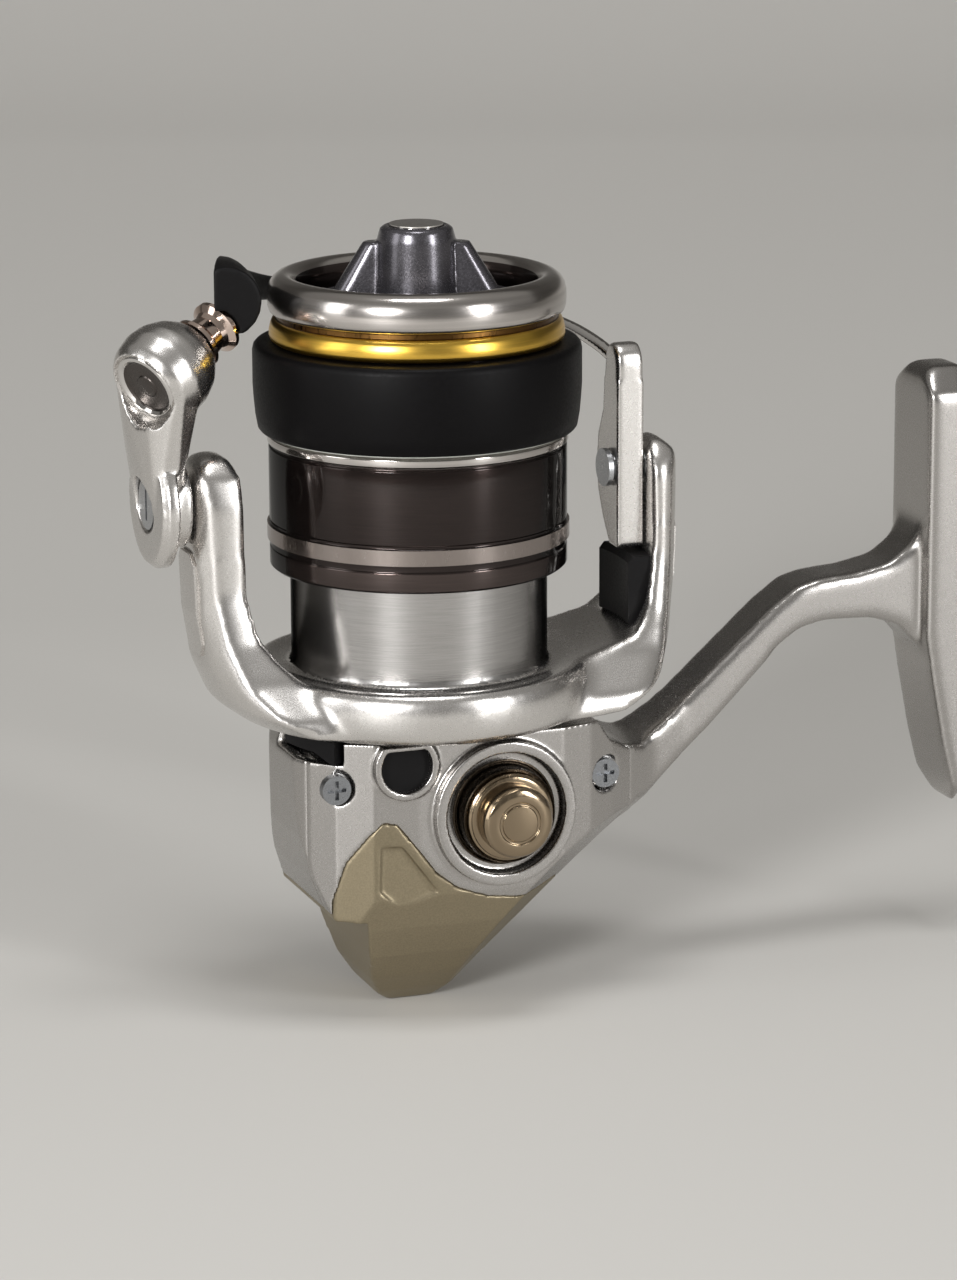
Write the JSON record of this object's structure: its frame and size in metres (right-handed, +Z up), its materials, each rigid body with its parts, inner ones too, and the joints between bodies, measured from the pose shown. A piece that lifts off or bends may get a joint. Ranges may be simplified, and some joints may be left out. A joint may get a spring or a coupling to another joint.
{
  "type": "spinning reel",
  "caption": "Spinning fishing reel with skirted spool, two-armed rotor, folding bail with line roller, front drag knob, side crank handle and a T-shaped rod foot.",
  "frame": {"origin": "on the spool axis at the flat under the tail, where the reel stands", "axes": "+Z up along the spool axis towards the drag knob, +X towards the rod foot, +Y towards the handle"},
  "size_m": [0.1406, 0.1108, 0.1225],
  "materials": {
    "satin_silver": "silver lacquer on die-cast aluminium, satin",
    "polished_silver": "polished metal",
    "smoke_gloss": "dark gloss lacquer on turned aluminium",
    "champagne": "champagne lacquer on die-cast aluminium, satin",
    "port_bronze": "bronze-tinted plating",
    "gold_anodised": "gold anodised",
    "black_rubber": "moulded, matt",
    "black_plastic": "moulded, fine grain",
    "knob_grip": "moulded soft grip",
    "steel": "machined",
    "brass": "machined",
    "roller_plated": "hard plated",
    "line_braid": "braided line",
    "drag_felt": "pressed felt and steel"
  },
  "bodies": {
    "frame": {"body_housing": "satin_silver", "side_cover": "satin_silver", "rear_cover": "champagne", "body_screws": "steel", "rear_cover_screw": "steel", "window_plug": "black_plastic", "port_ring": "port_bronze", "port_cap": "port_bronze", "drive_bearing_left": "steel", "drive_bearing_right": "steel", "pinion_bearing": "steel", "pinion_bush": "brass", "roller_clutch": "steel", "clutch_cover": "black_plastic", "guide_rod": "steel"},
    "crank": {"drive_shaft": "steel", "drive_gear": "brass", "swing_pinion": "steel", "handle_shank": "polished_silver", "handle_arm": "satin_silver", "knob_shaft": "steel"},
    "grip": {"handle_knob": "knob_grip", "knob_cap": "polished_silver"},
    "swing": {"swing_gear": "steel"},
    "switch": {"anti_reverse_lever": "black_plastic"},
    "rotor_head": {"rotor": "satin_silver", "pinion_gear": "brass", "rotor_nut": "brass", "rotor_nut_lock": "steel", "arm_cover_left": "satin_silver", "arm_cover_right": "satin_silver", "arm_inner_cover": "black_plastic", "bail_pivot_screws": "steel", "bail_spring": "steel"},
    "bail": {"bail_arm": "satin_silver", "bail_arm_cap": "polished_silver", "roller_bush": "black_plastic", "roller_pin": "steel", "roller_cone": "black_plastic", "bail_wire": "polished_silver", "bail_lever": "satin_silver"},
    "roller": {"line_roller": "roller_plated"},
    "shaft": {"main_shaft": "steel", "slider": "brass", "slider_screw": "steel", "spool_support": "brass"},
    "spool_body": {"spool": "smoke_gloss", "spool_lip": "polished_silver", "gold_ring": "gold_anodised", "skirt_ring": "polished_silver", "line_winding": "line_braid", "spool_band": "black_rubber", "line_clip": "black_plastic", "click_gear": "steel", "drag_washers": "drag_felt", "drag_retainer": "steel"},
    "drag": {"drag_knob": "smoke_gloss", "drag_knob_insert": "polished_silver"}
  },
  "joints": [
    {"name": "handle_turn", "type": "hinge", "parent": "frame", "child": "crank", "pos_m": [0.0078, 0, 0.0326], "axis": [0, 1, 0], "continuous": true},
    {"name": "grip_spin", "type": "hinge", "parent": "crank", "child": "grip", "pos_m": [0.0249, 0.06, 0.07959], "axis": [0, 1, 0], "continuous": true},
    {"name": "rotor_spin", "type": "hinge", "parent": "frame", "child": "rotor_head", "pos_m": [0, 0, 0.04], "axis": [0, 0, 1], "continuous": true},
    {"name": "swing_spin", "type": "hinge", "parent": "frame", "child": "swing", "pos_m": [-0.001, 0, 0.0205], "axis": [0, 1, 0], "continuous": true},
    {"name": "switch_turn", "type": "hinge", "parent": "frame", "child": "switch", "pos_m": [0, 0, 0.0458], "axis": [0, 0, -1], "range_deg": [0, 12]},
    {"name": "bail_flip", "type": "hinge", "parent": "rotor_head", "child": "bail", "pos_m": [0, 0, 0.082], "axis": [1, 0, 0], "range_deg": [0, 95]},
    {"name": "roller_spin", "type": "hinge", "parent": "bail", "child": "roller", "pos_m": [-0.03369, 0.00046, 0.10712], "axis": [0.7995, 0.4197, 0.4297], "continuous": true},
    {"name": "spool_stroke", "type": "slide", "parent": "frame", "child": "shaft", "axis": [0, 0, 1], "range_m": [-0.012, 0]},
    {"name": "spool_drag", "type": "hinge", "parent": "shaft", "child": "spool_body", "pos_m": [0, 0, 0.098], "axis": [0, 0, 1], "continuous": true},
    {"name": "drag_set", "type": "hinge", "parent": "shaft", "child": "drag", "pos_m": [0, 0, 0.112], "axis": [0, 0, 1], "continuous": true}
  ],
  "couplings": [
    {"joint": "rotor_spin", "follows": "handle_turn", "ratio": 5},
    {"joint": "swing_spin", "follows": "handle_turn", "ratio": -0.46429}
  ]
}
